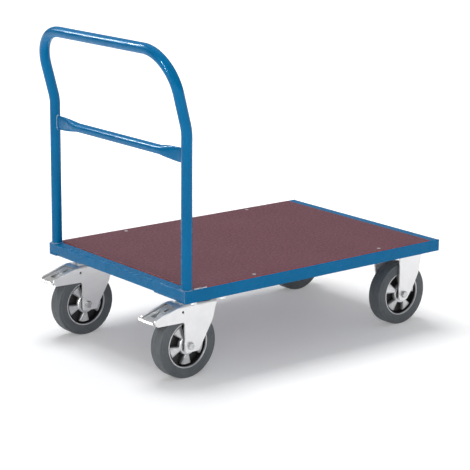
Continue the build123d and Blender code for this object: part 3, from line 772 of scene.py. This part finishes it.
# %% Brown film and painted edges
film = Finish("brown film on plywood", Specular_IOR_Level=0.25)
film_tone = film.mix(film.tone(170, 0, 1), (0.060, 0.018, 0.026), (0.195, 0.076, 0.096))
film_cloud = film.mix(film.tone(6, 0, 0.35), film_tone, (0.165, 0.070, 0.088))
film_specks = place_node(film.tree, "ShaderNodeMapRange", From_Min=0.93, From_Max=1.05)
film.link(film.tone(330, 0, 1), film_specks.inputs["Value"])
film_face = film.mix(film_specks.outputs["Result"], film_cloud, (0.62, 0.55, 0.56))

edge_margin = 0.0004
deck_bottom, deck_top = (corner.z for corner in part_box("deck_board"))
film_place = place_node(film.tree, "ShaderNodeTexCoord")
film_height = place_node(film.tree, "ShaderNodeSeparateXYZ")
film.link(film_place.outputs["Object"], film_height.inputs["Vector"])
on_edge = place_node(film.tree, "ShaderNodeMath", operation="COMPARE")
on_edge.inputs[1].default_value = (deck_bottom + deck_top) / 2
on_edge.inputs[2].default_value = (deck_top - deck_bottom) / 2 - edge_margin
film.link(film_height.outputs["Z"], on_edge.inputs[0])
film.link(film.mix(on_edge.outputs["Value"], film_face, (0.62, 0.110, 0.060)), "Base Color")
film.link(film.tone(120, 0.34, 0.52), "Roughness")
film.skin(900, 0.00012)
print("deck from", round(deck_bottom, 4), "to", round(deck_top, 4), "m")

# %% [markdown]
# ### Rubbers
# The tyres are a matt grey rubber that leaves no marks on a floor. The dust seals and the brake shoes are
# black. Both have a fine, rough skin and hardly any gloss.

# %% Grey and black rubber
rubber = Finish("grey tyre rubber", Specular_IOR_Level=0.35)
rubber.link(rubber.mix(rubber.tone(40, 0, 1), (0.088, 0.098, 0.106), (0.114, 0.125, 0.134)), "Base Color")
rubber.link(rubber.tone(60, 0.50, 0.68), "Roughness")
rubber.skin(1500, 0.00008)

black = Finish("black rubber", Specular_IOR_Level=0.3)
black.link(black.mix(black.tone(80, 0, 1), (0.012, 0.012, 0.013), (0.025, 0.025, 0.027)), "Base Color")
black.link(black.tone(60, 0.6, 0.8), "Roughness")
black.skin(1500, 0.0001)

# %% [markdown]
# ### Zinc and steel
# The forks, brackets and plates are bright zinc, a little cloudy and not quite a mirror, so the shader is
# only partly metallic and its smooth face has no bump. The pedals are duller pressed steel, and their
# darker grey is painted shade for the dim room that their tilted tops reflect. Bright turned steel is for
# the bearings, the springs, the lock discs, and the axle bolts and nuts.

# %% Zinc, pedal steel and bright steel
zinc = Finish("bright zinc", Metallic=0.7)
zinc.link(zinc.mix(zinc.tone(25, 0, 1), (0.80, 0.80, 0.805), (0.86, 0.86, 0.865)), "Base Color")
zinc.link(zinc.tone(30, 0.28, 0.34), "Roughness")

pressed = Finish("pressed pedal steel", Metallic=0.85)
# Painted shade: darker than the zinc, for the dim room the pedals' tilted tops reflect.
pressed.link(pressed.mix(pressed.tone(60, 0, 1), (0.42, 0.415, 0.405), (0.54, 0.535, 0.525)), "Base Color")
pressed.link(pressed.tone(90, 0.34, 0.46), "Roughness")
pressed.skin(500, 0.00003)

steel = Finish("bright steel", Metallic=1.0)
steel.link(steel.mix(steel.tone(60, 0, 1), (0.50, 0.51, 0.52), (0.64, 0.65, 0.66)), "Base Color")
steel.link(steel.tone(120, 0.20, 0.34), "Roughness")
steel.skin(1200, 0.00004)

# %% [markdown]
# ### Welds
# The painted welds have the frame's blue, but a glossier one, because paint pools in the ripples and each
# ripple glints. The short seams beside the uprights are near white, a painted highlight.

# %% Painted highlight seams and painted welds
seam_highlight_paint = Finish("weld seam with painted highlight", Metallic=0.2, Specular_IOR_Level=0.6)
# Painted highlight: near white where the light catches the seam.
seam_highlight_paint.link(seam_highlight_paint.mix(seam_highlight_paint.tone(300, 0, 1), (0.82, 0.84, 0.86), (0.95, 0.95, 0.95)), "Base Color")
seam_highlight_paint.link(seam_highlight_paint.tone(200, 0.25, 0.4), "Roughness")

weld_paint = Finish("blue paint over welds", Coat_Weight=1.0, Coat_Roughness=0.18, Specular_IOR_Level=0.6)
weld_blue = weld_paint.mix(weld_paint.tone(200, 0, 1), (0.002, 0.11, 0.26), (0.02, 0.19, 0.38))
weld_paint.link(weld_blue, "Base Color")
weld_paint.link(weld_paint.tone(150, 0.18, 0.4), "Roughness")

# %% [markdown]
# ### Cast rims
# The rims are cast aluminium. Their spokes, hub and lip are bright, the pockets between the spokes are
# black, and the spokes' sides are partly dark as painted shade. The value that each rim point carries
# turns the colour black and the metal off together.

# %% Cast metal and black pockets
cast = Finish("cast rim with black pockets")
mask = place_node(cast.tree, "ShaderNodeAttribute", attribute_name="mask")
bright_metal = cast.mix(cast.tone(90, 0, 1), (0.60, 0.61, 0.62), (0.76, 0.77, 0.78))
# The mask holds the black pockets and the painted shade on the spokes' sides.
cast.link(cast.mix(mask.outputs["Fac"], bright_metal, (0.010, 0.010, 0.011)), "Base Color")
metal_part = place_node(cast.tree, "ShaderNodeMapRange", To_Min=0.9, To_Max=0.0)
cast.link(mask.outputs["Fac"], metal_part.inputs["Value"])
cast.link(metal_part.outputs["Result"], "Metallic")
cast.link(cast.tone(120, 0.26, 0.44), "Roughness")
cast.skin(900, 0.0001)

# %% [markdown]
# ### Studio floor
# The floor should be pure white away from the cart and still take its shadow. Lamps alone fade with
# distance, so the floor also glows: hardly under the cart, and more and more towards the edge of the view.

# %% Glowing floor
glow_start, glow_stop = 0.7, 2.8
glow_low, glow_high = 0.21, 0.9

pale_floor = Finish("studio floor", Roughness=0.6, Specular_IOR_Level=0.2, Emission_Strength=1.0)
floor_tone = pale_floor.mix(pale_floor.tone(0.6, 0, 1), (0.83, 0.83, 0.83), (0.85, 0.85, 0.85))
pale_floor.link(floor_tone, "Base Color")
floor_place = place_node(pale_floor.tree, "ShaderNodeTexCoord")
floor_distance = place_node(pale_floor.tree, "ShaderNodeVectorMath", operation="LENGTH")
floor_glow = place_node(pale_floor.tree, "ShaderNodeMapRange", interpolation_type="SMOOTHSTEP",
                        From_Min=glow_start, From_Max=glow_stop, To_Min=glow_low, To_Max=glow_high)
pale_floor.link(floor_place.outputs["Object"], floor_distance.inputs[0])
pale_floor.link(floor_distance.outputs["Value"], floor_glow.inputs["Value"])
pale_floor.link(floor_glow.outputs["Result"], "Emission Color")
floor.data.materials.append(pale_floor.material)

# %% [markdown]
# ## Put the finishes on
# The record gives each part a slot, such as blue paint or zinc plate, and most parts simply take their
# slot's finish. A few differ: the pedals are duller than the zinc round them and darker as painted shade,
# their pins are black as painted shade for the hole they sit in, the axle bolts and nuts are bright steel,
# and the imported rims have no mask for the black pockets. Both kinds of weld have a finish of their own,
# and the pale one is a painted highlight.

# %% Finishes on parts and pieces
finish_of_slot = {
    "blue_paint": blue,
    "plywood": film,
    "tyre_rubber": rubber,
    "rim_aluminium": cast,
    "black_rubber": black,
    "bright_steel": steel,
    "zinc_plate": zinc,
}
seam_finishes = {"weld_seams": weld_paint, "painted_highlight_seams": seam_highlight_paint}


def finish_of_part(node, slot):
    """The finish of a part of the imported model."""
    if node.startswith("brake_pedal"):
        return pressed
    # Painted shade: the pins are black for the dark hole in the fork that they sit in.
    if node.startswith("pedal_pin"):
        return black
    if "axle_bolt" in node or "axle_nut" in node:
        return steel
    if slot == "rim_aluminium":
        return zinc
    return finish_of_slot[slot]


for part in frame["record"]["subparts"]:
    mesh = frame["nodes"][part["node"]].data
    mesh.materials.clear()
    mesh.materials.append(finish_of_part(part["node"], part["material_slot"]).material)
for piece in scene.objects:
    if piece.get("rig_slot"):
        finish = seam_finishes.get(piece.name, finish_of_slot[piece["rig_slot"]])
        piece.data.materials.clear()
        piece.data.materials.append(finish.material)
